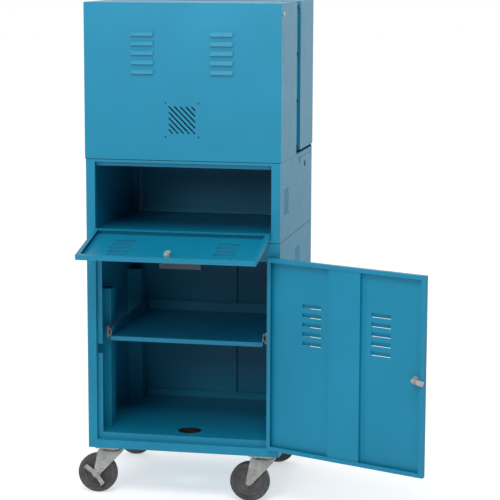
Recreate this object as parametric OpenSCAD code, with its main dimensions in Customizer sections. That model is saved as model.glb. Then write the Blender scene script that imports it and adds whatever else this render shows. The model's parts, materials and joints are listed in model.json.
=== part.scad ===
// Mobile lockable steel cabinet on four casters.
// A lower bay with a sliding tray, a keyboard bay with drop-down doors, and a monitor hood.
// Frame: origin on the ground under the middle of the cabinet, +Z up, service side towards -Y.

/* [Cabinet] */
// Width of the lower and middle sections
cab_w = 622; // [610:1:640]
// Depth of the cabinet
cab_d = 572; // [560:1:590]
// Height of the underside above the ground
base_z = 158; // [158:1:170]
// Height of the lower section
lower_h = 682; // [670:1:700]
// Height of the middle section
middle_h = 251; // [245:1:260]
// Height of the hood
hood_h = 487; // [470:1:500]
// How far the hood stands proud of the sections below, on each side
hood_over = 2; // [1:0.5:4]
// Sheet steel thickness
sheet = 1.5; // [1.2:0.1:1.6]

/* [Openings] */
// Width of the jamb beside each opening
jamb_w = 28.5; // [26:0.5:32]
// Depth from the face of the cabinet to the back of a door stop
stop_d = 18; // [18:0.5:22]
// Width of the door stop beside the lower opening
stop_w = 15.5; // [14:0.5:18]
// Height of the rail under the lower opening
base_rail_h = 27; // [24:1:30]
// Height of the door stop above that rail, on the service side
base_stop_h = 21; // [18:1:24]
// Height of the door stop above that rail, on the front
front_stop_h = 43; // [30:1:50]
// Height of the rail over the lower opening
lower_rail_h = 41; // [36:1:46]
// Height of the sill under the keyboard opening
sill_h = 11; // [10:0.5:14]
// Height of the rail over the keyboard opening
top_rail_h = 9.5; // [9:0.5:14]
// Height of the door stop behind that rail
top_stop_h = 13.5; // [12:0.5:16]

/* [Doors] */
// Angle at which the lower service door stands open
lower_open = 156.5; // [0:0.5:170]
// Angle at which the drop-down service door stands open
drop_open = 103; // [0:0.5:103]
// Depth of the rim around each door
rim_d = 16; // [15.5:0.5:16]
// Width of the lip turned in around the back of that rim
lip_w = 13; // [8:0.5:14]
// Gap between a door and its opening on the three sides without a hinge
door_gap = 1.5; // [1.5:0.1:2.5]
// Width of the hat section that stiffens a tall door
hat_w = 112; // [100:1:130]
// Depth of that hat section
hat_d = 12; // [10:0.5:12]

/* [Hinges] */
// Radius of a hinge pin
pin_r = 1.6; // [1.4:0.1:1.8]
// Outer radius of a knuckle
knuckle_r = 3.1; // [2.9:0.1:3.2]
// Length of a knuckle with its gap
knuckle_pitch = 25.4; // [20:0.2:30]
// Distance of a pin in front of the face of the cabinet
pin_off = 3.5; // [3.5:0.1:4]

/* [Tray] */
// Width of the tray
tray_w = 496; // [480:1:496]
// Depth of the tray
tray_len = 488; // [450:1:490]
// Height of the tray's surface above the ground
tray_z = 515; // [480:1:560]
// Height of the rim around the tray
tray_rim = 30; // [20:1:34]
// Height of a tray slide
slide_h = 35; // [32:1:36]
// Width taken by a tray slide
slide_w = 12.7; // [12.7:0.1:13]

/* [Ventilation] */
// Width of a louver
louver_w = 71; // [60:1:76]
// Height of a louver
louver_h = 17; // [15:0.5:19]
// How far a louver stands out
louver_out = 7; // [5:0.5:8]
// Distance between louvers
louver_pitch = 29.25; // [26:0.25:32]
// Side of the square of diagonal slots
grille_w = 86; // [80:1:90]
// Width of a diagonal slot
slot_w = 4.5; // [3.5:0.1:5]
// Distance between diagonal slots, along the edge of their square
slot_pitch = 18; // [17:0.5:20]
// Spacing of the fan screw holes
fan_pitch = 105; // [100:0.5:110]
// Diameter of the cable port in the floor of the lower bay
port_d = 76.2; // [60:0.1:80]

/* [Casters] */
// Wheel diameter
wheel_d = 127; // [120:1:127]
// Wheel width
wheel_w = 32; // [28:1:34]
// Distance of a wheel's axle behind its swivel
trail = 42.5; // [38:0.5:44]
// Place of the left swivels across the cabinet
caster_left = -251.5; // [-252:0.5:-240]
// Place of the right swivels across the cabinet
caster_right = 251.5; // [240:0.5:252]
// Distance of a swivel from the middle, front to back
caster_y = 238; // [230:1:239]

/* [Hidden] */
$fn = 48;

paint = [0.10, 0.45, 0.60];
zinc = [0.75, 0.76, 0.74];
dark_steel = [0.30, 0.30, 0.30];
tyre_grey = [0.26, 0.26, 0.28];
clear = [0.80, 0.86, 0.88, 0.4];
label_grey = [0.72, 0.72, 0.72];

// Levels and faces of the cabinet
eps = 0.5;
half_w = cab_w / 2;
half_d = cab_d / 2;
middle_z = base_z + lower_h;
hood_z = middle_z + middle_h;
top_z = hood_z + hood_h;
open_x = half_w - jamb_w;
floor_z = base_z + base_rail_h + base_stop_h;
lower_top = middle_z - lower_rail_h;
keyboard_low = middle_z + sill_h;
keyboard_top = hood_z - top_rail_h;

// Hinge axes and the lengths of the doors from them
hinge_gap = 2.5;
pin_x = open_x - hinge_gap / 2;
pin_y = half_d + pin_off;
drop_pin_z = keyboard_low + hinge_gap / 2;
side_door_len = pin_x + open_x - door_gap;
drop_door_len = keyboard_top - door_gap - drop_pin_z;
door_middle = (side_door_len + hinge_gap / 2) / 2;
leaf_t = 0.9;
knuckle_gap = 0.4;
pin_clearance = 0.05;

// Hood
hood_half_w = half_w + hood_over;
hood_near = -half_d - hood_over;
hood_split = -23;
box_near = 45;
collar_in = 8;
box_low = hood_z + 8;
collar_low = box_low + sheet;
hood_lock_y = -half_d + 30;
hood_lock_z = top_z - 33;
hood_rail = 28.5;
collar_bolt_y = 28;
collar_bolt_z = [for (k = [0 : 3]) hood_z + 20 + k * 149];
window_low = box_low + hood_rail;
window_top = top_z - hood_rail;
window_side = 58;
window_over = 48;
window_under = 118;

// Ranges of each door along its hinge
lower_door_v = [base_z + base_rail_h + door_gap, lower_top - door_gap];
drop_door_v = [-open_x + door_gap, open_x - door_gap];
window_door_v = [window_low + door_gap, window_top - door_gap];

// Louvers: rows start at the top one
hood_louver_z = 1358.5;
lower_louver_z = 535;
drop_louver_u = 56.5;
louver_side = 124;
drop_louver_side = 166;
louver_rows = 5;
louver_r = (louver_h * louver_h + louver_out * louver_out) / (2 * louver_out);

// Locks: distances from the free edge of the door, and reach of the cams
lock_r = 9.4;
plug_r = 6;
lock_back = 32;
lock_back_drop = 24;
cam_len = 34;
cam_len_drop = 26;
cam_w = 16;
cam_t = 2.5;
cam_at = stop_d + 1;
lower_lock_z = 480;
lower_cam_tilt = -10;

// Tray and slides
tray_near = -238;
slide_z = tray_z + tray_rim - slide_h / 2;
slide_x = tray_w / 2 + slide_w;

// Casters
plate_w = 76;
plate_l = 92;
plate_t = 4;
bolt_x = 38;
bolt_y = 66;
bolt_r = 4;
race_top = base_z - plate_t;
fork_top = 143;
fork_in = 20;
fork_t = 3;
axle_z = wheel_d / 2;
axle_r = 5;
// Brake rocker: length and angle of each arm, half its width, and how far its pedals stand out
lever_t = 2.5;
lever_half = 7;
lever_arms = [[44, 145], [40, -56]];
pedal_out = 10;
casters = [
    [caster_left, -caster_y], [caster_right, -caster_y], [caster_left, caster_y], [caster_right, caster_y]
];

// Box between two opposite corners
module block(lo, hi) {
    translate(lo) cube(hi - lo);
}

// Rectangle between two opposite corners
module rect(lo, hi) {
    translate(lo) square(hi - lo);
}

// Children, and their mirror images in the plane that halves the cabinet front to back
module both_faces() {
    children();
    mirror([0, 1, 0]) children();
}

// Children, and their mirror images in the plane that halves the cabinet left to right
module both_sides() {
    children();
    mirror([1, 0, 0]) children();
}

// ---- Ventilation ----

// One pressed louver in the XY plane, facing +Z, its open lip along the X axis from 0 to louver_w
module louver() {
    difference() {
        intersection() {
            translate([0, 0, louver_out - louver_r])
                rotate([0, 90, 0]) cylinder(r = louver_r, h = louver_w);
            block([0, 0, -eps], [louver_w, louver_h + 2, louver_out + 2]);
        }
        translate([sheet, 0, louver_out - louver_r])
            rotate([0, 90, 0]) cylinder(r = louver_r - sheet, h = louver_w - 2 * sheet);
    }
}

// Holes under a column of louvers whose lowest lip is at y
module louver_holes(x, y) {
    for (row = [0 : louver_rows - 1])
        translate([x + sheet, y + row * louver_pitch, -5])
            cube([louver_w - 2 * sheet, louver_h - 3, 10]);
}

// A column of louvers whose lowest lip is at y
module louver_column(x, y) {
    for (row = [0 : louver_rows - 1])
        translate([x, y + row * louver_pitch, 0]) louver();
}

// Slot with round ends along the X axis
module round_slot(len, w) {
    translate([-len / 2, -w / 2]) square([len, w]);
    for (s = [-1, 1]) translate([s * len / 2, 0]) circle(d = w);
}

// Square of diagonal slots, running down to the right
module grille() {
    half = grille_w / 2 - slot_w / 2;
    steps = floor((grille_w - 2 * slot_w) / slot_pitch);
    for (k = [-steps : steps]) {
        c = k * slot_pitch;
        x0 = max(-half, c - half);
        x1 = min(half, c + half);
        translate([(x0 + x1) / 2, c - (x0 + x1) / 2])
            rotate(-45) round_slot((x1 - x0) * sqrt(2), slot_w);
    }
}

// Grille cut through the right side of a section, centred at y and z
module side_grille_cut(y, z, x) {
    translate([x, y, z]) rotate([90, 0, 90])
        linear_extrude(20, center = true) grille();
}

// ---- Lower section ----

// Plan of a side wall: web, two jambs and their returns
module side_plan() {
    rect([-half_w, -half_d], [-half_w + sheet, half_d]);
    for (s = [0, 1]) mirror([0, s]) {
        rect([-half_w, -half_d], [-open_x, -half_d + sheet]);
        rect([-open_x - sheet, -half_d], [-open_x, -half_d + stop_d]);
    }
}

// Left side with a door stop beside each opening, from the rail up
module lower_side() {
    translate([0, 0, base_z]) linear_extrude(lower_h - sheet) side_plan();
    both_faces()
        block([-open_x - sheet, -half_d + stop_d - sheet, base_z + base_rail_h - sheet],
              [-open_x + stop_w, -half_d + stop_d, middle_z - sheet]);
}

// The left door stop has a notch that the turned-out cam of the service door passes through
module lower_side_left() {
    notch = cam_w / 2 + 7;
    color(paint) difference() {
        lower_side();
        block([-open_x + 0.5, -half_d + stop_d - 3, lower_lock_z - notch],
              [-open_x + stop_w + 1, -half_d + stop_d + 1, lower_lock_z + notch]);
    }
}

module lower_side_right() {
    color(paint) difference() {
        mirror([1, 0, 0]) lower_side();
        side_grille_cut(20, 746, half_w);
    }
}

// Floor of the lower bay, with the rails and door stops under both openings and a collared cable port
module base_pan() {
    port_y = -191;
    port_deep = 21;
    color(paint) difference() {
        union() {
            block([-half_w + sheet, -half_d + stop_d, floor_z - sheet],
                  [half_w - sheet, half_d - stop_d, floor_z]);
            both_faces() {
                block([-open_x, -half_d, base_z], [open_x, -half_d + sheet, base_z + base_rail_h]);
                block([-open_x, -half_d, base_z + base_rail_h - sheet],
                      [open_x, -half_d + stop_d - sheet, base_z + base_rail_h]);
                block([-open_x + stop_w, -half_d + stop_d - sheet, base_z + base_rail_h - sheet],
                      [open_x - stop_w, -half_d + stop_d, floor_z]);
            }
            block([-open_x + stop_w, half_d - stop_d, floor_z - sheet],
                  [open_x - stop_w, half_d - stop_d + sheet, base_z + base_rail_h + front_stop_h]);
            translate([0, port_y, floor_z - port_deep])
                cylinder(d = port_d + 2 * sheet, h = port_deep - eps, $fn = 96);
        }
        translate([0, port_y, floor_z - port_deep - 1]) cylinder(d = port_d, h = port_deep + 2, $fn = 96);
    }
}

// Channel above each caster, between its plate and the floor of the bay
module caster_bracket() {
    half_x = 30;
    near = -46;
    wall_near = -28.5;
    far = 52;
    wall = 3;
    difference() {
        union() {
            block([-half_x, near, 0], [half_x, far, wall]);
            for (s = [0, 1]) mirror([s, 0, 0])
                block([half_x - wall, wall_near, 0], [half_x, far, floor_z - sheet - base_z]);
        }
        bolt_holes(20);
    }
}

// Four bolt holes of a caster plate
module bolt_holes(h) {
    for (x = [-1, 1], y = [-1, 1])
        translate([x * bolt_x / 2, y * bolt_y / 2, -h / 2]) cylinder(r = bolt_r + 0.2, h = h);
}

module caster_brackets() {
    color(paint)
        for (c = casters)
            translate([c[0], c[1], base_z]) mirror([0, c[1] > 0 ? 1 : 0, 0]) caster_bracket();
}

// Top of the lower section, with the rail and door stop over both openings
module lower_deck() {
    stop_low = 20;
    color(paint) {
        block([-half_w, -half_d, middle_z - sheet], [half_w, half_d, middle_z]);
        both_faces() {
            block([-open_x, -half_d, lower_top], [open_x, -half_d + sheet, middle_z - sheet + eps]);
            block([-open_x, -half_d, lower_top], [open_x, -half_d + stop_d - sheet, lower_top + sheet]);
            block([-open_x + stop_w, -half_d + stop_d - sheet, lower_top - stop_low],
                  [open_x - stop_w, -half_d + stop_d, lower_top + sheet]);
        }
    }
}

// Slotted channels that carry the tray slides
module upright() {
    depth = 50;
    web_x = tray_w / 2 + slide_w;
    top = 660;
    difference() {
        block([web_x, 0, floor_z], [half_w - sheet, depth, top]);
        block([web_x + sheet, sheet, floor_z - 1], [half_w, depth - sheet, top + 1]);
        for (z = [floor_z + 40 : 50.8 : top - 20])
            block([web_x - 1, 14, z], [web_x + 2, 18, z + 16]);
    }
}

module uprights() {
    near_y = -190;
    far_y = 197;
    color(paint) both_sides() {
        translate([0, near_y, 0]) upright();
        translate([0, far_y, 0]) upright();
    }
}

// ---- Middle section ----

module middle_side() {
    translate([0, 0, middle_z]) linear_extrude(middle_h - sheet) side_plan();
}

module middle_side_left() {
    color(paint) middle_side();
}

// The right side has a grille, a shallow strip along its upper edge and a slot under the strip
module middle_side_right() {
    strip_out = 1.5;
    color(paint) difference() {
        union() {
            mirror([1, 0, 0]) middle_side();
            block([half_w - eps, 50, 1056], [half_w + strip_out, 243, 1074]);
        }
        side_grille_cut(-184, 960, half_w);
        block([half_w - 5, 141, 1036], [half_w + 5, 161, 1054]);
    }
}

// Floor of the keyboard bay, with a sill under both openings
module middle_floor() {
    color(paint) {
        block([-half_w + sheet, -half_d + stop_d, keyboard_low - sheet],
              [half_w - sheet, half_d - stop_d, keyboard_low]);
        both_faces() {
            block([-open_x, -half_d, keyboard_low - sheet], [open_x, -half_d + stop_d + eps, keyboard_low]);
            block([-open_x, -half_d, middle_z], [open_x, -half_d + sheet, keyboard_low]);
        }
    }
}

// Top of the middle section, with the rail and door stop over both openings
module middle_deck() {
    color(paint) {
        block([-half_w, -half_d, hood_z - sheet], [half_w, half_d, hood_z]);
        both_faces() {
            block([-open_x, -half_d, keyboard_top], [open_x, -half_d + sheet, hood_z - sheet + eps]);
            block([-open_x, -half_d, keyboard_top], [open_x, -half_d + stop_d - eps, keyboard_top + sheet]);
            block([-open_x, -half_d + stop_d - sheet, keyboard_top - top_stop_h],
                  [open_x, -half_d + stop_d, keyboard_top + sheet]);
        }
    }
}

// ---- Hood ----

// Rear half of the hood, a box that is open towards the collar
module hood_rear_shell() {
    louver_x = [-126 - louver_w / 2, 126 - louver_w / 2];
    grille_z = 1217;
    screw_r = 2.5;
    color(paint) {
        hood_rear_louvers(louver_x);
        difference() {
            block([-hood_half_w, hood_near, hood_z], [hood_half_w, hood_split, top_z]);
            block([-hood_half_w + sheet, hood_near + sheet, hood_z + sheet],
                  [hood_half_w - sheet, hood_split - sheet, top_z - sheet]);
            block([-hood_half_w + collar_in, hood_near + 50, collar_low],
                  [hood_half_w - collar_in, hood_split + 1, top_z - collar_in]);
            translate([0, hood_near, 0]) rotate([90, 0, 0]) {
                for (x = louver_x) louver_holes(x, hood_louver_z);
                translate([0, grille_z, -5]) linear_extrude(10) grille();
                for (x = [-1, 1], z = [-1, 1])
                    translate([x * fan_pitch / 2, grille_z + z * fan_pitch / 2, -5])
                        cylinder(r = screw_r, h = 10);
            }
            translate([hood_half_w - 5, hood_lock_y, hood_lock_z]) rotate([0, 90, 0])
                cylinder(r = lock_r - 3, h = 10);
        }
    }
}

module hood_rear_louvers(places) {
    translate([0, hood_near, 0]) rotate([90, 0, 0])
        for (x = places) louver_column(x, hood_louver_z);
}

// Recessed frame that joins the two halves of the hood
module hood_collar() {
    out_x = hood_half_w - collar_in;
    low = collar_low;
    high = top_z - collar_in;
    lap = 14;
    color(paint) difference() {
        block([-out_x, hood_split - lap, low], [out_x, box_near + lap, high]);
        block([-out_x + sheet, hood_split - lap - 1, low + sheet],
              [out_x - sheet, box_near + lap + 1, high - sheet]);
        for (z = collar_bolt_z, s = [-1, 1])
            translate([s * out_x, collar_bolt_y, z]) rotate([0, 90, 0])
                cylinder(r = 3.1, h = 10, center = true);
    }
}

// Bolts through the sides of the collar, with their nuts inside
module collar_bolts() {
    out_x = hood_half_w - collar_in;
    color(dark_steel) both_sides()
        for (z = collar_bolt_z) translate([out_x, collar_bolt_y, z]) rotate([0, 90, 0]) {
            cylinder(r = 3, h = 10, center = true);
            cylinder(r = 6, h = 4, $fn = 6);
            translate([0, 0, -sheet - 4]) cylinder(r = 5.8, h = 4, $fn = 6);
        }
}

// Front half of the hood, a box with an opening for the window door
module hood_front_box() {
    face = half_d;
    back_in = 30;
    color(paint) difference() {
        union() {
            difference() {
                block([-hood_half_w, box_near, box_low], [hood_half_w, face, top_z]);
                block([-hood_half_w + sheet, box_near + sheet, box_low + sheet],
                      [hood_half_w - sheet, face - sheet, top_z - sheet]);
                block([-hood_half_w + collar_in, box_near - 1, collar_low],
                      [hood_half_w - collar_in, box_near + sheet + 1, top_z - collar_in]);
                block([-open_x, face - back_in, window_low], [open_x, face + 1, window_top]);
            }
            difference() {
                block([-open_x - sheet, face - stop_d, window_low - sheet],
                      [open_x + sheet, face - eps, window_top + sheet]);
                block([-open_x, face - stop_d - 1, window_low], [open_x, face + 1, window_top]);
            }
            block([open_x - stop_w, face - stop_d, window_low - sheet],
                  [open_x + eps, face - stop_d + sheet, window_top + sheet]);
            block([-hood_half_w, face - 24, hood_z], [hood_half_w, face - 24 + sheet, box_low + eps]);
        }
    }
}

// Barrel lock in the right side of the rear half, with its nut inside
module hood_lock() {
    color(zinc) translate([hood_half_w, hood_lock_y, hood_lock_z]) rotate([0, 90, 0]) {
        difference() {
            union() {
                cylinder(r = 8, h = 3);
                translate([0, 0, -10]) cylinder(r = lock_r - 3, h = 11);
            }
            translate([-0.8, -3, 2]) cube([1.6, 6, 2]);
        }
        translate([0, 0, -sheet - 4]) difference() {
            cylinder(r = 11, h = 4, $fn = 6);
            translate([0, 0, -1]) cylinder(r = lock_r - 3, h = 6);
        }
    }
}

// ---- Door places ----
// Inside each of these, X runs from the hinge pin to the free edge, Y runs along the pin,
// and Z runs inwards from the pin.

module lower_place(angle = lower_open) {
    translate([pin_x, -pin_y, 0]) rotate([0, 0, angle]) rotate([90, 0, 180]) children();
}

module front_place() {
    rotate([0, 0, 180]) lower_place(0) children();
}

module drop_place(angle = drop_open) {
    translate([0, -pin_y, drop_pin_z]) rotate([angle, 0, 0]) rotate([0, -90, -90]) children();
}

module keyboard_place() {
    rotate([0, 0, 180]) drop_place(0) children();
}

// ---- Hinges ----

// One leaf of a continuous hinge. side is 1 for the leaf on the door and -1 for the one on the frame.
module hinge_leaf(v, side) {
    inset = 1.5;
    v0 = v[0] + inset;
    length = v[1] - v[0] - 2 * inset;
    count = floor(length / knuckle_pitch);
    pitch = length / count;
    depth = 12;
    bore = side > 0 ? pin_r + pin_clearance : pin_r;
    first = side > 0 ? 1 : 0;
    plate_u = side > 0 ? hinge_gap / 2 - leaf_t : -hinge_gap / 2;
    difference() {
        union() {
            block([plate_u, v0, pin_off], [plate_u + leaf_t, v0 + length, pin_off + depth]);
            for (k = [first : 2 : count - 1]) translate([0, v0 + k * pitch, 0]) {
                block([plate_u, knuckle_gap / 2, 0], [plate_u + leaf_t, pitch - knuckle_gap / 2, pin_off + eps]);
                translate([0, knuckle_gap / 2, 0]) rotate([-90, 0, 0])
                    cylinder(r = knuckle_r, h = pitch - knuckle_gap);
            }
        }
        translate([0, v0 - 1, 0]) rotate([-90, 0, 0]) cylinder(r = bore, h = length + 2);
    }
}

module hinge_pin(v) {
    translate([0, v[0] + 1.5, 0]) rotate([-90, 0, 0]) cylinder(r = pin_r, h = v[1] - v[0] - 3);
}

module hinge_frame_leaves() {
    color(paint) {
        lower_place(0) hinge_leaf(lower_door_v, -1);
        front_place() hinge_leaf(lower_door_v, -1);
        drop_place(0) hinge_leaf(drop_door_v, -1);
        keyboard_place() hinge_leaf(drop_door_v, -1);
        front_place() hinge_leaf(window_door_v, -1);
    }
}

module hinge_pins() {
    color(zinc) {
        lower_place(0) hinge_pin(lower_door_v);
        front_place() hinge_pin(lower_door_v);
        drop_place(0) hinge_pin(drop_door_v);
        keyboard_place() hinge_pin(drop_door_v);
        front_place() hinge_pin(window_door_v);
    }
}

// ---- Doors ----

// Pressed door: a skin with a rim on all four sides and a lip turned in from the rim
module door_shell(len, v) {
    u0 = hinge_gap / 2;
    difference() {
        block([u0, v[0], pin_off], [len, v[1], pin_off + rim_d]);
        block([u0 + sheet, v[0] + sheet, pin_off + sheet],
              [len - sheet, v[1] - sheet, pin_off + rim_d - sheet]);
        block([u0 + lip_w, v[0] + lip_w, pin_off + sheet], [len - lip_w, v[1] - lip_w, pin_off + rim_d + 1]);
    }
}

// Door with louver columns. Each place is [x, y] of a column's lowest lip, seen from outside.
// turn lays the louvers so that they open towards the ground when the door is shut.
module louvered_door(len, v, places, turn) {
    difference() {
        door_shell(len, v);
        for (p = places)
            translate([p[0], p[1], pin_off]) rotate(turn) louver_holes(0, 0);
    }
    for (p = places)
        translate([p[0], p[1], pin_off]) rotate(turn) mirror([0, 0, 1]) louver_column(0, 0);
}

module lock_hole(u, v) {
    translate([u, v, pin_off - 5]) cylinder(r = lock_r, h = 10);
}

module lower_door() {
    color(paint) lower_place() difference() {
        louvered_door(side_door_len, lower_door_v, [
            [door_middle - louver_side - louver_w / 2, lower_louver_z],
            [door_middle + louver_side - louver_w / 2, lower_louver_z]
        ], 0);
        lock_hole(side_door_len - lock_back, lower_lock_z);
    }
}

module front_door() {
    color(paint) front_place() difference() {
        door_shell(side_door_len, lower_door_v);
        lock_hole(side_door_len - lock_back, lower_lock_z);
    }
}

module drop_door() {
    color(paint) drop_place() difference() {
        louvered_door(drop_door_len, drop_door_v, [
            [drop_louver_u, -drop_louver_side + louver_w / 2],
            [drop_louver_u, drop_louver_side + louver_w / 2]
        ], -90);
        lock_hole(drop_door_len - lock_back_drop, 0);
    }
}

module keyboard_door() {
    color(paint) keyboard_place() difference() {
        door_shell(drop_door_len, drop_door_v);
        lock_hole(drop_door_len - lock_back_drop, 0);
    }
}

// Hat section welded upright inside a tall door
module hat_section(middle) {
    flange = 12;
    wall = 1.2;
    low = lower_door_v[0] + 3;
    high = lower_door_v[1] - 3;
    z0 = pin_off + sheet;
    translate([middle, high, z0]) rotate([90, 0, 0]) linear_extrude(high - low) {
        for (s = [-1, 1]) {
            translate([s * (hat_w + flange) / 2, wall / 2]) square([flange + 2 * wall, wall], center = true);
            translate([s * (hat_w - wall) / 2, hat_d / 2]) square([wall, hat_d], center = true);
        }
        translate([0, hat_d - wall / 2]) square([hat_w, wall], center = true);
    }
}

module lower_door_stiffener() {
    color(paint) lower_place() hat_section(door_middle);
}

module front_door_stiffener() {
    color(paint) front_place() hat_section(door_middle);
}

module lower_door_leaf() {
    color(paint) lower_place() hinge_leaf(lower_door_v, 1);
}

module front_door_leaf() {
    color(paint) front_place() hinge_leaf(lower_door_v, 1);
}

module drop_door_leaf() {
    color(paint) drop_place() hinge_leaf(drop_door_v, 1);
}

module keyboard_door_leaf() {
    color(paint) keyboard_place() hinge_leaf(drop_door_v, 1);
}

module window_door_leaf() {
    color(paint) front_place() hinge_leaf(window_door_v, 1);
}

// Window door of the hood, with a clear pane clipped inside it
module window_door() {
    v = window_door_v;
    color(paint) front_place() difference() {
        door_shell(side_door_len, v);
        block([window_side, v[0] + window_under, 0],
              [side_door_len - window_side, v[1] - window_over, 10]);
        lock_hole(side_door_len - lock_back_drop, (v[0] + v[1]) / 2);
    }
}

module window_pane() {
    v = window_door_v;
    lap = 12;
    pane_t = 3;
    color(clear) front_place()
        block([window_side - lap, v[0] + window_under - lap, pin_off + sheet],
              [side_door_len - window_side + lap, v[1] - window_over + lap, pin_off + sheet + pane_t]);
}

// ---- Locks ----

// Barrel of a cam lock, with its nut, through the skin of a door
module lock_body() {
    flange_r = 11.5;
    nut_r = 12.7;
    difference() {
        union() {
            translate([0, 0, -2]) cylinder(r = flange_r, h = 2);
            cylinder(r = lock_r, h = stop_d + 0.4);
        }
        translate([0, 0, -3]) cylinder(r = plug_r + pin_clearance, h = stop_d + 10);
    }
    translate([0, 0, sheet]) difference() {
        cylinder(r = nut_r, h = 5, $fn = 6);
        translate([0, 0, -1]) cylinder(r = lock_r, h = 7);
    }
}

// Plug, cam and cam nut. The cam points along X from the plug.
module lock_cam(len) {
    difference() {
        union() {
            translate([0, 0, -2]) cylinder(r = plug_r, h = cam_at + 2 + eps);
            translate([0, 0, cam_at]) {
                block([0, -cam_w / 2, 0], [len, cam_w / 2, cam_t]);
                cylinder(r = cam_w / 2, h = cam_t);
                cylinder(r = 6, h = cam_t + 3.5, $fn = 6);
            }
        }
        block([-3.5, -0.6, -3], [3.5, 0.6, 2]);
    }
}

module lower_lock() {
    color(zinc) lower_place()
        translate([side_door_len - lock_back, lower_lock_z, pin_off]) lock_body();
}

module lower_cam() {
    color(zinc) lower_place()
        translate([side_door_len - lock_back, lower_lock_z, pin_off]) rotate(lower_cam_tilt) lock_cam(cam_len);
}

module front_lock() {
    color(zinc) front_place()
        translate([side_door_len - lock_back, lower_lock_z, pin_off]) lock_body();
}

module front_cam() {
    color(zinc) front_place()
        translate([side_door_len - lock_back, lower_lock_z, pin_off]) rotate(-90) lock_cam(cam_len);
}

module drop_lock() {
    color(zinc) drop_place()
        translate([drop_door_len - lock_back_drop, 0, pin_off]) lock_body();
}

module drop_cam() {
    color(zinc) drop_place()
        translate([drop_door_len - lock_back_drop, 0, pin_off]) rotate(180) lock_cam(cam_len_drop);
}

module keyboard_lock() {
    color(zinc) keyboard_place()
        translate([drop_door_len - lock_back_drop, 0, pin_off]) lock_body();
}

module keyboard_cam() {
    color(zinc) keyboard_place()
        translate([drop_door_len - lock_back_drop, 0, pin_off]) rotate(90) lock_cam(cam_len_drop);
}

module window_lock() {
    v = (window_door_v[0] + window_door_v[1]) / 2;
    color(zinc) front_place()
        translate([side_door_len - lock_back_drop, v, pin_off]) lock_body();
}

module window_cam() {
    v = (window_door_v[0] + window_door_v[1]) / 2;
    color(zinc) front_place()
        translate([side_door_len - lock_back_drop, v, pin_off]) rotate(-90) lock_cam(cam_len_drop);
}

// Blank plate on the inside of the front door
module label_plate() {
    t = 0.8;
    u = 61;
    color(label_grey) front_place()
        block([u, 650, pin_off + sheet], [u + 147, 702, pin_off + sheet + t]);
}

// ---- Tray ----

module tray() {
    lip = 13.5;
    slope = 16;
    far = tray_near + tray_len;
    half = tray_w / 2;
    color(paint) {
        block([-half, tray_near, tray_z - sheet], [half, far, tray_z]);
        block([-half, tray_near, tray_z - lip], [half, tray_near + sheet, tray_z]);
        block([-half, far - sheet, tray_z - sheet], [half, far, tray_z + tray_rim]);
        both_sides() translate([half, 0, 0]) rotate([90, 0, -90]) linear_extrude(sheet)
            polygon([
                [-far, tray_z - sheet], [-tray_near, tray_z - sheet], [-tray_near, tray_z + 4],
                [-tray_near - slope, tray_z + tray_rim], [-far, tray_z + tray_rim]
            ]);
    }
}

// Channel section of a slide member, web at x = 0 and lips towards +X or -X
module slide_channel(half_h, lip) {
    wall = 1.2;
    block([0, tray_near + 3, -half_h], [wall, tray_near + tray_len - 3, half_h]);
    for (s = [0, 1]) mirror([0, 0, s])
        block([0, tray_near + 3, half_h - wall], [lip, tray_near + tray_len - 3, half_h]);
}

module slide_outer() {
    color(zinc) both_sides()
        translate([slide_x, 0, slide_z]) mirror([1, 0, 0]) slide_channel(slide_h / 2, 6.5);
}

module slide_middle() {
    color(zinc) both_sides()
        translate([slide_x - 3, 0, slide_z]) mirror([1, 0, 0]) slide_channel(slide_h / 2 - 4, 6.5);
}

module slide_inner() {
    color(zinc) both_sides()
        translate([slide_x - slide_w, 0, slide_z]) slide_channel(slide_h / 2 - 8, 6.5);
}

// ---- Casters ----

module caster_plates() {
    kingpin_r = 6;
    color(zinc) for (c = casters) translate([c[0], c[1], 0]) difference() {
        union() {
            translate([-plate_w / 2, -plate_l / 2, race_top]) cube([plate_w, plate_l, plate_t]);
            translate([0, 0, race_top - 6]) cylinder(r = 26, h = 6 + eps);
            translate([0, 0, 134]) cylinder(r = kingpin_r, h = race_top - 134);
            translate([0, 0, 133]) cylinder(r = 10, h = 3);
        }
        translate([0, 0, race_top]) bolt_holes(20);
    }
}

module caster_bolts() {
    head = 5;
    color(zinc) for (c = casters, x = [-1, 1], y = [-1, 1])
        translate([c[0] + x * bolt_x / 2, c[1] + y * bolt_y / 2, race_top]) {
            translate([0, 0, -head]) cylinder(r = bolt_r, h = 20);
            translate([0, 0, -head]) cylinder(r = 7, h = head, $fn = 6);
            translate([0, 0, plate_t + 3]) cylinder(r = 7, h = 6, $fn = 6);
        }
}

// Swivel fork, trailing towards -X, about its own swivel axis
module fork() {
    half_top = 37;
    tip_r = 10;
    hole_r = 6.08;
    difference() {
        union() {
            block([-half_top + 8, -fork_in - fork_t, fork_top - 4], [half_top - 8, fork_in + fork_t, fork_top]);
            translate([0, 0, fork_top - 3]) cylinder(r = half_top, h = 3);
            translate([0, 0, fork_top - 1]) cylinder(r = 24, h = 5.4);
            for (y = [-fork_in - fork_t, fork_in]) translate([0, y + fork_t, 0]) rotate([90, 0, 0])
                linear_extrude(fork_t) {
                    polygon([
                        [-half_top, fork_top], [-trail - tip_r, axle_z],
                        [-trail + tip_r * 0.7, axle_z - tip_r * 0.71], [half_top, fork_top - 9],
                        [half_top, fork_top]
                    ]);
                    translate([-trail, axle_z]) circle(r = tip_r);
                }
        }
        translate([0, 0, fork_top - 10]) cylinder(r = hole_r, h = 30);
        translate([-trail, 0, axle_z]) rotate([90, 0, 0]) cylinder(r = axle_r, h = 80, center = true);
    }
}

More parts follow.
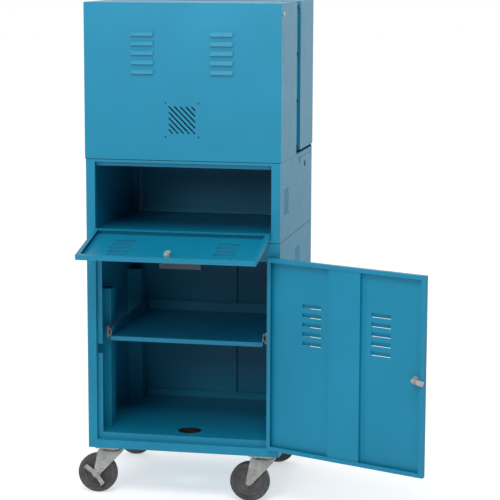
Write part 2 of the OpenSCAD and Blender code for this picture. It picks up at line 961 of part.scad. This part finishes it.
// Solid wheel with rounded shoulders and a ring pressed into each side
module wheel() {
    shoulder = 7;
    groove_r = 46;
    groove_w = 5;
    bore = axle_r + pin_clearance;
    hub_r = 17;
    hub_w = 2 * fork_in - 1;
    r = wheel_d / 2;
    half = wheel_w / 2;
    rotate([90, 0, 0]) rotate_extrude($fn = 96) difference() {
        union() {
            rect([bore, -half], [r - shoulder, half]);
            rect([bore, -half + shoulder], [r, half - shoulder]);
            for (s = [-1, 1]) translate([r - shoulder, s * (half - shoulder)]) circle(r = shoulder);
            rect([bore, -hub_w / 2], [hub_r, hub_w / 2]);
        }
        for (s = [-1, 1]) {
            translate([groove_r, s * (half + 1)]) square([groove_w, 5], center = true);
            translate([28, s * (half + 1)]) square([12, 6], center = true);
        }
    }
}

// Axle bolt with its nut. head_out is the distance of its head from the fork.
module axle(head_out) {
    head_t = 5;
    y0 = -fork_in - fork_t - head_out;
    y1 = fork_in + fork_t;
    translate([0, y0 - head_t, 0]) rotate([-90, 0, 0]) {
        cylinder(r = 8.5, h = head_t, $fn = 6);
        cylinder(r = axle_r, h = head_t - y0 + y1 + 8);
    }
    translate([0, y1, 0]) rotate([-90, 0, 0]) difference() {
        cylinder(r = 8.5, h = 6, $fn = 6);
        translate([0, 0, -1]) cylinder(r = axle_r, h = 8);
    }
}

// Rocker of the side brake, on the axle outside the fork: a flat plate with a pedal on each arm
module brake_lever() {
    hub_r = 13;
    y = -fork_in - fork_t - 0.5;
    color(zinc) translate([caster_left - trail, -caster_y + y, axle_z]) rotate([90, 0, 0]) {
        linear_extrude(lever_t) difference() {
            union() {
                circle(r = hub_r);
                for (arm = lever_arms) rotate(arm[1])
                    rect([0, -lever_half], [arm[0], lever_half]);
            }
            circle(r = axle_r + 0.08);
        }
        for (arm = lever_arms) rotate(arm[1])
            block([arm[0] - lever_t, -lever_half, lever_t - eps], [arm[0], lever_half, pedal_out]);
    }
}

module caster_fork(i) {
    color(zinc) translate([casters[i][0], casters[i][1], 0]) fork();
}

module caster_wheel(i) {
    color(tyre_grey) translate([casters[i][0] - trail, casters[i][1], axle_z]) wheel();
}

module caster_axle(i) {
    color(zinc) translate([casters[i][0] - trail, casters[i][1], axle_z])
        axle(i == 0 ? lever_t + 1 : 0);
}

lower_side_left();
lower_side_right();
base_pan();
caster_brackets();
lower_deck();
uprights();
middle_side_left();
middle_side_right();
middle_floor();
middle_deck();
hood_rear_shell();
hood_collar();
hood_front_box();
collar_bolts();
hood_lock();
hinge_frame_leaves();
hinge_pins();
lower_door();
lower_door_stiffener();
lower_door_leaf();
lower_lock();
lower_cam();
drop_door();
drop_door_leaf();
drop_lock();
drop_cam();
front_door();
front_door_stiffener();
front_door_leaf();
front_lock();
front_cam();
keyboard_door();
keyboard_door_leaf();
keyboard_lock();
keyboard_cam();
window_door();
window_pane();
window_door_leaf();
window_lock();
window_cam();
label_plate();
tray();
slide_outer();
slide_middle();
slide_inner();
caster_plates();
caster_bolts();
caster_fork(0);  // fork_1
caster_fork(1);  // fork_2
caster_fork(2);  // fork_3
caster_fork(3);  // fork_4
caster_wheel(0);  // wheel_1
caster_wheel(1);  // wheel_2
caster_wheel(2);  // wheel_3
caster_wheel(3);  // wheel_4
caster_axle(0);  // axle_1
caster_axle(1);  // axle_2
caster_axle(2);  // axle_3
caster_axle(3);  // axle_4
brake_lever();
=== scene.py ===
"""Looks for the mobile steel cabinet: materials, pressed-sheet details, light and camera."""

import json
import math

import bmesh
import bpy
from mathutils import Matrix, Vector


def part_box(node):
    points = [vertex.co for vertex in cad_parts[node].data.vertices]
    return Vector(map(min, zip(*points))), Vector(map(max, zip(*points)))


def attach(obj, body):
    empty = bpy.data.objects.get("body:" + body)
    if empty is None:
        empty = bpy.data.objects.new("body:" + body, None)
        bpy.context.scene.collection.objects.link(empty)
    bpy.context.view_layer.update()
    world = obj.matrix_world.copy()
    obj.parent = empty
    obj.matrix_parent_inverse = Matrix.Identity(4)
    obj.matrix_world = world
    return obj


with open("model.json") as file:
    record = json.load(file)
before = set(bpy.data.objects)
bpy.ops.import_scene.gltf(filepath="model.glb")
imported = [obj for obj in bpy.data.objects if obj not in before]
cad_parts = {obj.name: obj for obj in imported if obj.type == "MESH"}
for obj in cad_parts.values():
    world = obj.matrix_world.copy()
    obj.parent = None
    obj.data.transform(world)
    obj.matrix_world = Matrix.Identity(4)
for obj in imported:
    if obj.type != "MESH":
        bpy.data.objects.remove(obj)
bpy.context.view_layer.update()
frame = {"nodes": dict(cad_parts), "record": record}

MM = 0.001
NODES = frame["nodes"]
RECORD = frame["record"]
SLOT_OF = {part["node"]: part["material_slot"] for part in RECORD["subparts"]}
COLOUR_OF = {entry["slot"]: entry["base_color"] for entry in RECORD["materials"]}


# ---- Node helpers ----

class NodeTree:
    """Short calls that add nodes to a tree, for the surfaces and for the studio's brightness."""

    def __init__(self, tree):
        self.tree = tree

    def link(self, value, socket):
        """Joins an output to the socket, or sets the socket to a plain value."""
        if isinstance(value, bpy.types.NodeSocket):
            self.tree.links.new(value, socket)
        else:
            socket.default_value = value

    def span(self, value, low, high, start, end):
        """value, mapped from low..high to start..end and held inside them."""
        node = self.tree.nodes.new("ShaderNodeMapRange")
        self.link(value, node.inputs["Value"])
        ends = (("From Min", low), ("From Max", high), ("To Min", start), ("To Max", end))
        for name, number in ends:
            node.inputs[name].default_value = number
        return node.outputs[0]

    def maths(self, kind, a, b):
        node = self.tree.nodes.new("ShaderNodeMath")
        node.operation = kind
        self.link(a, node.inputs[0])
        self.link(b, node.inputs[1])
        return node.outputs[0]


class Surface(NodeTree):
    """A material with one Principled shader, and the textures that the surfaces share."""

    def __init__(self, name):
        self.material = bpy.data.materials.new(name)
        self.material.use_nodes = True
        super().__init__(self.material.node_tree)
        self.tree.nodes.clear()
        self.shader = self.tree.nodes.new("ShaderNodeBsdfPrincipled")
        output = self.tree.nodes.new("ShaderNodeOutputMaterial")
        self.tree.links.new(self.shader.outputs[0], output.inputs["Surface"])
        self.place = self.tree.nodes.new("ShaderNodeTexCoord").outputs["Object"]

    def set(self, **values):
        for name, value in values.items():
            self.link(value, self.shader.inputs[name.replace("_", " ").title()])

    def scaled(self, x, y, z):
        node = self.tree.nodes.new("ShaderNodeMapping")
        node.inputs["Scale"].default_value = (x, y, z)
        self.link(self.place, node.inputs["Vector"])
        return node.outputs[0]

    def noise(self, scale, detail=3.0, roughness=0.5, at=None):
        node = self.tree.nodes.new("ShaderNodeTexNoise")
        node.inputs["Scale"].default_value = scale
        node.inputs["Detail"].default_value = detail
        node.inputs["Roughness"].default_value = roughness
        self.link(at or self.place, node.inputs["Vector"])
        return node.outputs["Fac"]

    def cells(self, scale):
        node = self.tree.nodes.new("ShaderNodeTexVoronoi")
        node.inputs["Scale"].default_value = scale
        self.link(self.place, node.inputs["Vector"])
        return node.outputs["Color"]

    def mix(self, factor, a, b):
        node = self.tree.nodes.new("ShaderNodeMix")
        node.data_type = "RGBA"
        self.link(factor, node.inputs["Factor"])
        self.link(a, node.inputs[6])
        self.link(b, node.inputs[7])
        return node.outputs[2]

    def edges(self, radius):
        """1 along outer and inner edges, 0 on flat faces."""
        bevel = self.tree.nodes.new("ShaderNodeBevel")
        bevel.samples = 4
        bevel.inputs["Radius"].default_value = radius
        flat = self.tree.nodes.new("ShaderNodeNewGeometry").outputs["Normal"]
        dot = self.tree.nodes.new("ShaderNodeVectorMath")
        dot.operation = "DOT_PRODUCT"
        self.link(bevel.outputs[0], dot.inputs[0])
        self.link(flat, dot.inputs[1])
        return self.span(dot.outputs["Value"], 0.75, 0.98, 1.0, 0.0)

    def bump(self, height, strength, distance):
        node = self.tree.nodes.new("ShaderNodeBump")
        node.inputs["Strength"].default_value = strength
        node.inputs["Distance"].default_value = distance
        self.link(height, node.inputs["Height"])
        self.link(node.outputs[0], self.shader.inputs["Normal"])


def tinted(colour, factor):
    """The colour, lighter or darker by a factor, with full alpha."""
    return [channel * factor for channel in colour[:3]] + [1.0]


# ---- Materials ----

def powder_coat(name, colour):
    """Satin powder coat: orange-peel bump, faint cloudiness, lighter edges that are partly wear and
    partly a painted highlight, and a few rub marks.
    """
    s = Surface(name)
    cloud = s.span(s.noise(3.2, 4), 0.3, 0.7, 0.0, 1.0)
    base = s.mix(cloud, tinted(colour, 0.93), tinted(colour, 1.08))
    fine = s.span(s.noise(420, 2), 0.35, 0.65, 0.0, 1.0)
    base = s.mix(s.maths("MULTIPLY", fine, 0.25), base, tinted(colour, 0.8))
    rubs = s.span(s.noise(9, 6, 0.7, s.scaled(1.0, 1.0, 6.0)), 0.68, 0.78, 0.0, 0.22)
    base = s.mix(rubs, base, tinted([channel * 0.9 + 0.012 for channel in colour[:3]], 1.3))
    # Lighter colour along every edge: partly wear, partly a painted highlight, broken up by noise.
    edges = s.edges(1.2 * MM)
    edge_wear_and_highlight = s.maths("MULTIPLY", edges, s.span(s.noise(60, 3), 0.42, 0.62, 0.1, 0.65))
    base = s.mix(edge_wear_and_highlight, base, tinted([channel * 0.75 + 0.11 for channel in colour[:3]], 1.2))
    s.set(base_color=base, roughness=s.span(s.noise(22, 4), 0.3, 0.7, 0.38, 0.43))
    s.shader.inputs["Specular IOR Level"].default_value = 0.4
    s.bump(s.noise(950, 2), 0.25, 0.3 * MM)
    return s.material


def zinc_plate(name, colour):
    """Bright zinc: cell-like spangle, drawn scratches and dull patches."""
    s = Surface(name)
    spangle = s.cells(160)
    dull = s.span(s.noise(40, 5), 0.35, 0.7, 0.0, 1.0)
    base = s.mix(dull, tinted(colour, 0.95), tinted(colour, 0.6))
    base = s.mix(s.span(spangle, 0.2, 0.8, 0.0, 0.35), base, tinted(colour, 0.45))
    grime = s.span(s.noise(90, 6, 0.65), 0.58, 0.75, 0.0, 0.55)
    base = s.mix(grime, base, (0.16, 0.13, 0.1, 1))
    s.shader.inputs["Metallic"].default_value = 0.45
    s.set(base_color=base, roughness=s.span(s.noise(120, 4), 0.3, 0.7, 0.26, 0.5))
    s.bump(s.noise(300, 4, 0.6, s.scaled(1.0, 1.0, 8.0)), 0.2, 0.2 * MM)
    return s.material


def black_oxide(name, colour):
    """Near-black finish with paler spots, for oxided steel, for the black rubber liner and for the
    dark strips that are painted shadow in the section joints.
    """
    s = Surface(name)
    spots = s.span(s.noise(200, 5), 0.55, 0.7, 0.0, 0.5)
    paler = tinted([channel + 0.04 for channel in colour[:3]], 1.2)
    s.set(
        base_color=s.mix(spots, tinted(colour, 0.6), paler),
        roughness=s.span(s.noise(150, 3), 0.3, 0.7, 0.4, 0.65),
    )
    s.shader.inputs["Metallic"].default_value = 0.6
    s.bump(s.noise(700, 3), 0.3, 0.2 * MM)
    return s.material


def wheel_rubber(name, colour):
    """Hard rubber with floor dust rubbed into it and a grey bloom."""
    s = Surface(name)
    bloom = s.span(s.noise(26, 6, 0.6), 0.4, 0.68, 0.0, 1.0)
    base = s.mix(bloom, tinted(colour, 0.36), tinted(colour, 0.6))
    dust = s.span(s.noise(240, 4, 0.7), 0.56, 0.72, 0.0, 0.3)
    base = s.mix(dust, base, (0.2, 0.19, 0.19, 1))
    s.set(base_color=base, roughness=s.span(bloom, 0.0, 1.0, 0.5, 0.72))
    s.bump(s.noise(900, 3), 0.35, 0.3 * MM)
    return s.material


def clear_sheet(name, colour):
    """Clear plastic sheet with faint smears."""
    s = Surface(name)
    smear = s.span(s.noise(7, 6, 0.6, s.scaled(1.0, 1.0, 0.3)), 0.45, 0.75, 0.03, 0.16)
    base = s.mix(s.noise(5), tinted(colour, 0.95), tinted(colour, 1.05))
    s.set(base_color=base, roughness=smear)
    s.shader.inputs["Transmission Weight"].default_value = 0.92
    s.shader.inputs["IOR"].default_value = 1.49
    s.bump(s.noise(30, 2), 0.02, 0.2 * MM)
    return s.material


def label_stock(name, colour):
    """Blank printed plate, a little scuffed."""
    s = Surface(name)
    scuff = s.span(s.noise(60, 6, 0.7), 0.5, 0.7, 0.0, 0.5)
    s.set(
        base_color=s.mix(scuff, tinted(colour, 1.05), tinted(colour, 0.72)),
        roughness=s.span(s.noise(80, 3), 0.3, 0.7, 0.35, 0.6),
    )
    s.bump(s.noise(500, 2), 0.1, 0.1 * MM)
    return s.material


MAKERS = {
    "paint": powder_coat, "zinc": zinc_plate, "dark_steel": black_oxide,
    "wheel_rubber": wheel_rubber, "clear_pane": clear_sheet, "label": label_stock,
}
MATERIALS = {slot: make(slot, COLOUR_OF[slot]) for slot, make in MAKERS.items()}


def dress_cad_nodes():
    """Each CAD node gets the material of its slot."""
    for name, part in NODES.items():
        part.data.materials.clear()
        part.data.materials.append(MATERIALS[SLOT_OF[name]])


dress_cad_nodes()


# ---- Details ----

# Places and sizes in this section are in millimetres: X to the right, Y to the far side, Z up.

def box_mm(node):
    """A node's lowest and highest corners in millimetres."""
    return [[value / MM for value in corner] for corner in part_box(node)]


CABINET = "cabinet"
HALF_W, HALF_D, _ = box_mm("lower_side_right")[1]
HOOD_BOTTOM = box_mm("hood_rear_shell")[0][2]
BAY_FLOOR = box_mm("middle_floor")[1][2]
MIDDLE_BOTTOM = box_mm("middle_floor")[0][2]
PORT = next(mount for mount in RECORD["mounts"] if mount["name"] == "cable_port")
PORT_X, PORT_Y, PORT_Z = (value / MM for value in PORT["pos_m"])
FLOOR_TOP = PORT_Z + PORT["dims"]["length_mm"] / 2


def piece(name, mesh, material, body, smooth=False):
    """A visual-only piece from a bmesh, riding on one body of the model."""
    data = bpy.data.meshes.new(name)
    if smooth:
        for face in mesh.faces:
            face.smooth = True
    mesh.to_mesh(data)
    mesh.free()
    thing = bpy.data.objects.new(name, data)
    bpy.context.scene.collection.objects.link(thing)
    data.materials.append(material)
    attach(thing, body)


def add_box(mesh, low, high):
    """Box between two corners in millimetres."""
    middle = [(a + b) / 2 * MM for a, b in zip(low, high)]
    size = [(b - a) * MM for a, b in zip(low, high)]
    place = Matrix.Translation(middle) @ Matrix.Diagonal(size + [1.0])
    bmesh.ops.create_cube(mesh, size=1.0, matrix=place)


def add_lathe(mesh, centre, profile, steps=64):
    """Closed ring swept round the upright axis through centre. profile holds (radius, height)."""
    rows = []
    for k in range(steps):
        turn = 2 * math.pi * k / steps
        rows.append([
            mesh.verts.new((
                (centre[0] + r * math.cos(turn)) * MM,
                (centre[1] + r * math.sin(turn)) * MM,
                z * MM,
            ))
            for r, z in profile
        ])
    for k, row in enumerate(rows):
        after = rows[(k + 1) % steps]
        for j in range(len(profile)):
            n = (j + 1) % len(profile)
            mesh.faces.new((row[j], after[j], after[n], row[n]))
    bmesh.ops.recalc_face_normals(mesh, faces=mesh.faces)


def add_rod(mesh, start, end, radius, steps=16):
    """Round bar along X between two points in millimetres."""
    length = (end[0] - start[0]) * MM
    middle = [(a + b) / 2 * MM for a, b in zip(start, end)]
    place = Matrix.Translation(middle) @ Matrix.Rotation(math.pi / 2, 4, "Y")
    bmesh.ops.create_cone(
        mesh, cap_ends=True, segments=steps, radius1=radius * MM, radius2=radius * MM,
        depth=length, matrix=place,
    )


def port_liner():
    """Thin black rubber liner inside the collar of the floor's cable port."""
    mesh = bmesh.new()
    depth, wall, clearance, round_off = 20.0, 2.5, 0.1, 0.8
    outer = PORT["dims"]["r_mm"] - clearance
    inner = outer - wall
    bottom, shoulder = FLOOR_TOP - depth, FLOOR_TOP - round_off
    add_lathe(mesh, (PORT_X, PORT_Y), [
        (inner, bottom), (outer, bottom), (outer, shoulder),
        (outer - round_off, FLOOR_TOP), (inner + round_off, FLOOR_TOP), (inner, shoulder),
    ])
    piece("port_liner", mesh, MATERIALS["black_rubber_and_seam_shade"], CABINET)


def add_frame(mesh, half_x, half_y, low, high, out, depth):
    """Thin band round the cabinet, standing out from its faces."""
    for side in (-1, 1):
        x = sorted((side * (half_x - depth), side * (half_x + out)))
        y = sorted((side * (half_y - depth), side * (half_y + out)))
        add_box(mesh, (x[0], -half_y - out, low), (x[1], half_y + out, high))
        add_box(mesh, (-half_x + depth, y[0], low), (half_x - depth, y[1], high))


def seam_shadow_strips():
    """Dark strips in the joints between the three sections: painted shadow of the gaps there."""
    mesh = bmesh.new()
    proud, depth = 0.35, 0.6
    add_frame(mesh, HALF_W, HALF_D, HOOD_BOTTOM - 1.8, HOOD_BOTTOM - 0.1, proud, depth)
    add_frame(mesh, HALF_W, HALF_D, MIDDLE_BOTTOM - 0.8, MIDDLE_BOTTOM + 0.8, proud, depth)
    piece("seam_shadow_strips", mesh, MATERIALS["black_rubber_and_seam_shade"], CABINET)


def bay_hinge_knuckles():
    """Row of small knuckles along the bottom of the keyboard bay's far side."""
    mesh = bmesh.new()
    pitch, gap, radius = 12.7, 0.8, 2.6
    y, z = HALF_D - 23.0, BAY_FLOOR + 2.8
    left, last_start, leaf_right, leaf_h = -260.0, 258, 262, 9
    x = left
    while x < last_start:
        add_rod(mesh, (x, y, z), (x + pitch - gap, y, z), radius)
        x += pitch
    add_box(mesh, (left, y + 0.8, z - radius), (leaf_right, y + 2.0, z + leaf_h))
    piece("bay_hinge_knuckles", mesh, MATERIALS["paint"], CABINET)


def slide_ball_cages():
    """Balls in their cages at the near end of each slide, between the middle and inner members."""
    balls, radius, pitch, end_gap = 4, 1.5, 9.0, 4
    raceway_rise, cage_half_w, cage_half_h = 11.2, 1.3, 0.5
    low, high = box_mm("slide_middle")
    slide_z = (low[2] + high[2]) / 2
    near = low[1] + 3.0
    far = near + balls * pitch + end_gap
    raceway_x = box_mm("slide_inner")[1][0] - 0.9
    cages, steel = bmesh.new(), bmesh.new()
    for side in (-1, 1):
        x = side * raceway_x
        for level in (-1, 1):
            z = slide_z + level * raceway_rise
            near_low = (x - cage_half_w, near, z - cage_half_h)
            add_box(cages, near_low, (x + cage_half_w, far, z + cage_half_h))
            for k in range(balls):
                place = Matrix.Translation(Vector((x, near + end_gap + k * pitch, z)) * MM)
                bmesh.ops.create_uvsphere(
                    steel, u_segments=12, v_segments=8, radius=radius * MM, matrix=place,
                )
    piece("slide_cages", cages, MATERIALS["dark_steel"], "slide_members")
    piece("slide_balls", steel, MATERIALS["zinc"], "slide_members", smooth=True)


# Black rubber for the port liner. The same material makes the dark strips in the section joints,
# which are painted shadow.
MATERIALS["black_rubber_and_seam_shade"] = black_oxide("black_rubber_and_seam_shade", [0.02, 0.02, 0.022])
port_liner()
seam_shadow_strips()
bay_hinge_knuckles()
slide_ball_cages()


# ---- Floor, light and camera ----

def studio_floor():
    """A plain pale sheet, kept out of the paint's gloss. It glows a little, for soft shadows."""
    size, below_wheels = 60.0, 0.4 * MM
    bpy.ops.mesh.primitive_plane_add(size=size, location=(0, 0, -below_wheels))
    floor = bpy.context.object
    floor.name = "floor"
    s = Surface("floor_paper")
    paper = s.mix(s.noise(2, 3), (0.7, 0.7, 0.7, 1), (0.74, 0.74, 0.74, 1))
    s.set(base_color=paper, roughness=0.95)
    s.shader.inputs["Specular IOR Level"].default_value = 0.0
    s.shader.inputs["Emission Color"].default_value = (1, 1, 1, 1)
    s.shader.inputs["Emission Strength"].default_value = 0.52
    floor.data.materials.append(s.material)
    floor.visible_glossy = False


def soft_box(name, place, aim, size, power):
    """Rectangular area light at place, turned to aim. Metres and watts."""
    data = bpy.data.lights.new(name, "AREA")
    data.shape = "RECTANGLE"
    data.size, data.size_y = size
    data.energy = power
    lamp = bpy.data.objects.new(name, data)
    lamp.location = place
    lamp.rotation_euler = (Vector(aim) - Vector(place)).to_track_quat("-Z", "Y").to_euler()
    bpy.context.scene.collection.objects.link(lamp)


def room(tree):
    """Brightness of the studio by direction: a white wall behind, a dimmer room in front."""
    nodes = NodeTree(tree)
    split = tree.nodes.new("ShaderNodeSeparateXYZ")
    nodes.link(tree.nodes.new("ShaderNodeTexCoord").outputs["Generated"], split.inputs[0])
    x, y, z = split.outputs
    overhead = nodes.span(z, 0.1, 0.8, 0.1, 0.75)
    front = nodes.maths("MULTIPLY", overhead, nodes.span(x, 0.1, 0.7, 1.0, 0.7))
    behind = nodes.span(y, -0.1, 0.45, 0.0, 1.0)
    wall = nodes.maths("MULTIPLY", behind, nodes.span(z, -0.16, -0.08, 0.55, 1.0))
    return nodes.maths("MAXIMUM", front, wall)


def studio_light():
    world = bpy.data.worlds.new("studio")
    bpy.context.scene.world = world
    world.use_nodes = True
    sky = world.node_tree.nodes["Background"]
    sky.inputs["Color"].default_value = (1, 1, 1, 1)
    world.node_tree.links.new(room(world.node_tree), sky.inputs["Strength"])
    bpy.context.scene.view_settings.view_transform = "Standard"
    aim = (0, 0, 1.3)
    soft_box("key", (0.45, -2.3, 3.3), aim, (1.5, 1.5), 50)
    soft_box("front", (-1.1, -5.4, 2.7), aim, (2.0, 1.4), 62)


def photo_camera():
    """The camera's place and angle, worked out from the cabinet's corners in the reference view."""
    data = bpy.data.cameras.new("camera")
    data.sensor_width = 36.0
    data.lens = 134.84
    data.clip_end = 60.0
    camera = bpy.data.objects.new("camera", data)
    camera.location = (1.360, -5.919, 1.7238)
    yaw, pitch, roll = (math.radians(a) for a in (11.48, 8.96, 0.183))
    turn = Matrix.Rotation(yaw, 4, "Z") @ Matrix.Rotation(math.pi / 2 - pitch, 4, "X")
    camera.rotation_euler = (turn @ Matrix.Rotation(roll, 4, "Z")).to_euler()
    bpy.context.scene.collection.objects.link(camera)
    bpy.context.scene.camera = camera


studio_floor()
studio_light()
photo_camera()
